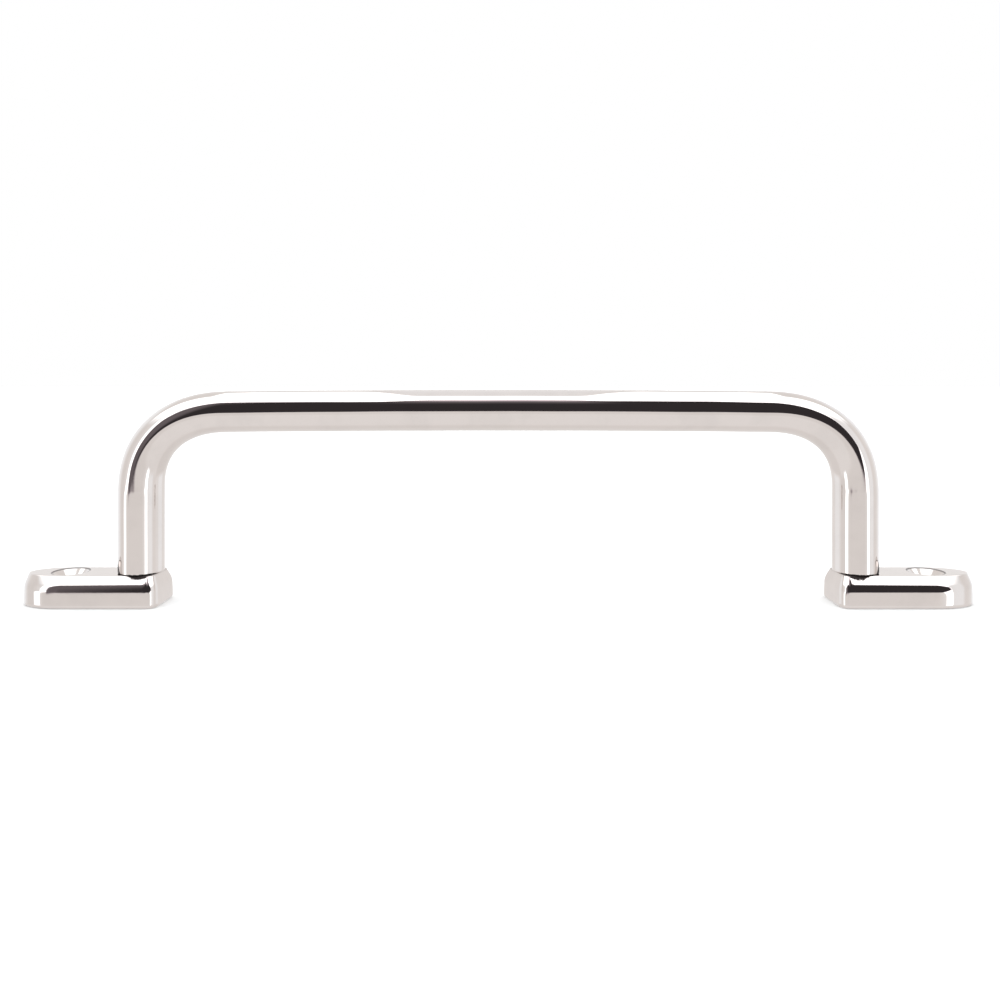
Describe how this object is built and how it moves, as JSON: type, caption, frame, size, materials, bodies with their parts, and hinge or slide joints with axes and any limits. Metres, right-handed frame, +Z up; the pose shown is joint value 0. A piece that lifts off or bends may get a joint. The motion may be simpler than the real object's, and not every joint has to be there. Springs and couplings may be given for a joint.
{
  "type": "grab rail",
  "caption": "Polished metal grab rail: a slim round bar with soft bends standing on flat feet with countersunk fixing holes.",
  "frame": {"origin": "on the mounting face under the feet, midway between them", "axes": "+X along the rail, +Y across it, +Z up from the mounting face to the bar"},
  "size_m": [0.2764, 0.016, 0.0621],
  "materials": {
    "bar": "mirror polished",
    "foot": "polished",
    "fastener": "plain"
  },
  "bodies": {
    "root": {"rail_bar": "bar", "foot_left": "foot", "foot_right": "foot", "foot_screw_left": "fastener", "foot_screw_right": "fastener"}
  },
  "joints": []
}
